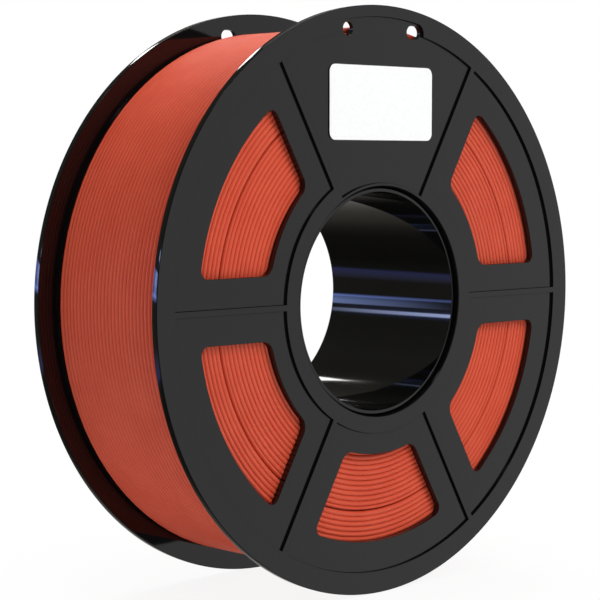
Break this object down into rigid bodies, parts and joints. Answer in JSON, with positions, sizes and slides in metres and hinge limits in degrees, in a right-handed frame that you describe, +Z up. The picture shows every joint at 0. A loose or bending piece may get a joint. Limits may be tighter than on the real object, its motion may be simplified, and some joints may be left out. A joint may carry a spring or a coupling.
{
  "type": "filament spool",
  "caption": "Filament spool: two windowed flanges twist-locked on a bore sleeve, with a keyed drum, a full round-filament winding and a blank label.",
  "frame": {"origin": "on the ground below the middle of the spool's axis, midway between the flanges' outer faces", "axes": "+Z up, Y along the spool's axis with the labelled front flange facing -Y, +X to the right as the label is read"},
  "size_m": [0.1998, 0.0624, 0.1997],
  "materials": {
    "glossy_black_plastic": "polished black polystyrene, mirror-like",
    "orange_red_filament": "satin orange-red filament",
    "white_label": "blank white paper label"
  },
  "bodies": {
    "hub": {"bore_sleeve": "glossy_black_plastic", "winding_drum": "glossy_black_plastic", "filament_inner_layers": "orange_red_filament", "filament_outer_layer": "orange_red_filament", "filament_start": "orange_red_filament"},
    "front": {"front_flange": "glossy_black_plastic", "label": "white_label"},
    "rear": {"rear_flange": "glossy_black_plastic"}
  },
  "joints": [
    {"name": "front_twist_lock", "type": "hinge", "parent": "hub", "child": "front", "pos_m": [0, -0.0312, 0.09986], "axis": [0, -1, 0], "range_deg": [0, 26]},
    {"name": "rear_twist_lock", "type": "hinge", "parent": "hub", "child": "rear", "pos_m": [0, 0.0312, 0.09986], "axis": [0, 1, 0], "range_deg": [0, 26]}
  ]
}
